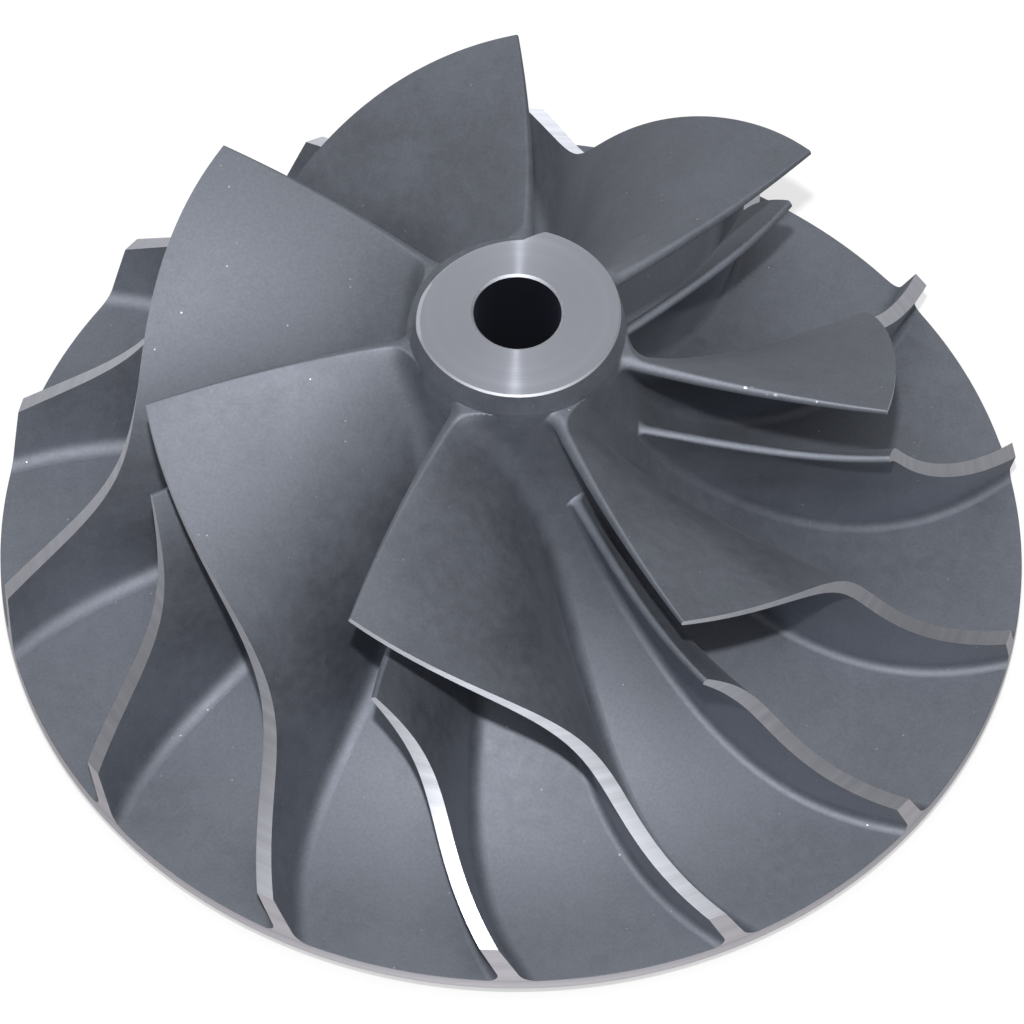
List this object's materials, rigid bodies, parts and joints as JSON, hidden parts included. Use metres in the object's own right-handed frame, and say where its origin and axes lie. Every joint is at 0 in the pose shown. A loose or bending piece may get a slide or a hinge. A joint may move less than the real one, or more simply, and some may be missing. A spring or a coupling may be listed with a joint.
{
  "type": "turbocharger compressor wheel",
  "caption": "Centrifugal compressor wheel of a turbocharger: one casting with full blades, shorter splitter blades between them and a plain bore for its shaft.",
  "frame": {"origin": "on the axis of rotation, in the plane of the back boss's flat face, which is the lowest point", "axes": "+Z along the axis of rotation, towards the nose and the air inlet; +X and +Y across it"},
  "size_m": [0.13, 0.13, 0.0584],
  "materials": {
    "cast_aluminium": "fine blasted casting, satin grey, with turned faces brighter"
  },
  "bodies": {
    "root": {"compressor_wheel": "cast_aluminium"}
  },
  "joints": []
}
